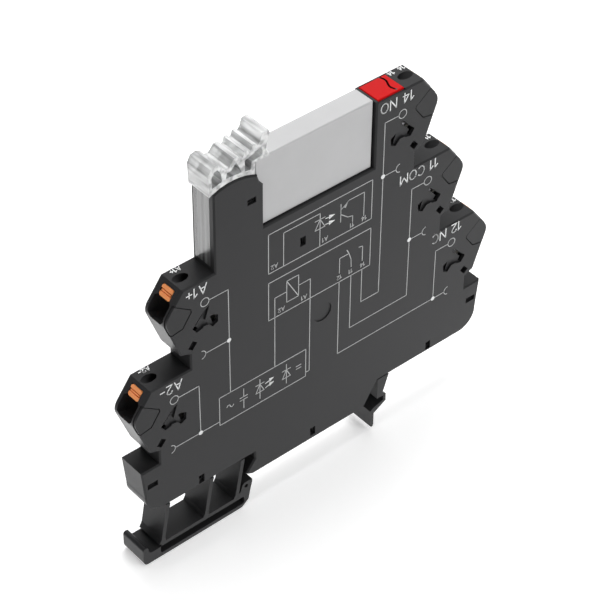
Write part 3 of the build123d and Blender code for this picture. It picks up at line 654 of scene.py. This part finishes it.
# Azimuth, elevation and roll of the photograph's camera, in degrees, and its place in millimetres
CAMERA_ANGLES = (-40.809, 41.221, 0.580)
CAMERA_PLACE = (-209.75, -240.2, 313.33)
FOCAL_PIXELS = 2209.95
PHOTO_PIXELS = 600.0
SENSOR = 36.0

FLOOR_SIZE = 3.0
FLOOR_GAP = 0.0002
FLOOR_COLOUR = (0.86, 0.86, 0.86, 1)
# Glow for light itself, for camera and glass, and in gloss
FLOOR_GLOW = (0.0, 0.4, 2.2)
WORLD_LEVEL = 0.22
BACKGROUND_LEVEL = 1.0
AIM = (0.0, 0.0, 0.04)

# Place, size and power of each soft box
LAMPS = {
    "front_right": ((0.35, -0.75, 0.50), 0.5, 2.95),
    "top": ((0.10, 0.10, 0.85), 0.5, 4.3),
    "back_right": ((0.44, 0.51, 0.62), 0.7, 3.3),
    "left_fill": ((-0.75, -0.20, 0.25), 0.5, 0.15),
}


def floor_and_backdrop():
    """Pale floor that stays white to the camera and keeps the object's shadow."""
    mesh = bpy.data.meshes.new("floor")
    size, low = FLOOR_SIZE, cad_low[2] - FLOOR_GAP
    corners = [(-size, -size, low), (size, -size, low), (size, size, low), (-size, size, low)]
    mesh.from_pydata(corners, [], [(0, 1, 2, 3)])
    floor = bpy.data.objects.new("floor", mesh)
    bpy.context.scene.collection.objects.link(floor)
    material = bpy.data.materials.new("pale_floor")
    material.use_nodes = True
    tree = material.node_tree
    shader = tree.nodes["Principled BSDF"]
    shader.inputs["Base Color"].default_value = FLOOR_COLOUR
    shader.inputs["Roughness"].default_value = 0.9
    shader.inputs["Emission Color"].default_value = (1, 1, 1, 1)
    tree.links.new(by_ray(tree, *FLOOR_GLOW), shader.inputs["Emission Strength"])
    mesh.materials.append(material)


def by_ray(tree, unseen, shown, mirrored):
    """Value for light itself, for what camera and glass see, and for what gloss mirrors."""
    path = tree.nodes.new("ShaderNodeLightPath")
    direct = tree.nodes.new("ShaderNodeMath")
    direct.operation = "MAXIMUM"
    tree.links.new(path.outputs["Is Camera Ray"], direct.inputs[0])
    tree.links.new(path.outputs["Is Transmission Ray"], direct.inputs[1])
    glossy = tree.nodes.new("ShaderNodeMapRange")
    glossy.inputs["To Min"].default_value = unseen
    glossy.inputs["To Max"].default_value = mirrored
    tree.links.new(path.outputs["Is Glossy Ray"], glossy.inputs["Value"])
    pick = tree.nodes.new("ShaderNodeMapRange")
    pick.inputs["To Max"].default_value = shown
    tree.links.new(glossy.outputs["Result"], pick.inputs["To Min"])
    tree.links.new(direct.outputs[0], pick.inputs["Value"])
    return pick.outputs["Result"]


def world_light(level, background):
    """Even studio light, with a plain white seen by the camera."""
    world = bpy.data.worlds.new("studio")
    bpy.context.scene.world = world
    world.use_nodes = True
    tree = world.node_tree
    tree.nodes.clear()
    out = tree.nodes.new("ShaderNodeOutputWorld")
    light = tree.nodes.new("ShaderNodeBackground")
    light.inputs["Color"].default_value = (1, 1, 1, 1)
    tree.links.new(by_ray(tree, level, background, background), light.inputs["Strength"])
    tree.links.new(light.outputs["Background"], out.inputs["Surface"])


def soft_box(name, place, size, power):
    """Large round lamp that looks at the middle of the object."""
    lamp = bpy.data.lights.new(name, "AREA")
    lamp.shape = "DISK"
    lamp.size = size
    lamp.energy = power
    holder = bpy.data.objects.new(name, lamp)
    holder.location = place
    aim = Vector(AIM) - Vector(place)
    holder.rotation_euler = aim.to_track_quat("-Z", "Y").to_euler()
    bpy.context.scene.collection.objects.link(holder)


def photo_camera():
    """Camera of the photograph, in the object's frame."""
    azimuth, elevation, roll = (math.radians(angle) for angle in CAMERA_ANGLES)
    back = Vector((math.sin(azimuth) * math.cos(elevation),
                   -math.cos(azimuth) * math.cos(elevation), math.sin(elevation)))
    right = Vector((math.cos(azimuth), math.sin(azimuth), 0))
    up = back.cross(right)
    turn = Matrix((right, up, back)).transposed().to_4x4() @ Matrix.Rotation(roll, 4, "Z")
    turn.translation = Vector(CAMERA_PLACE) * MM
    data = bpy.data.cameras.new("photo_camera")
    data.sensor_width = SENSOR
    data.lens = FOCAL_PIXELS * SENSOR / PHOTO_PIXELS
    data.clip_start = 0.01
    data.clip_end = 20.0
    camera = bpy.data.objects.new("photo_camera", data)
    camera.matrix_world = turn
    bpy.context.scene.collection.objects.link(camera)
    bpy.context.scene.camera = camera


photo_camera()
floor_and_backdrop()
world_light(WORLD_LEVEL, BACKGROUND_LEVEL)
for lamp_name, (lamp_place, lamp_size, lamp_power) in LAMPS.items():
    soft_box(lamp_name, lamp_place, lamp_size, lamp_power)
dress_nodes()
contact_diagram()
run_diagram()
supply_diagram()
terminal_marks()
tag_marks()
button_ridges()

bpy.context.scene.view_settings.view_transform = "Standard"
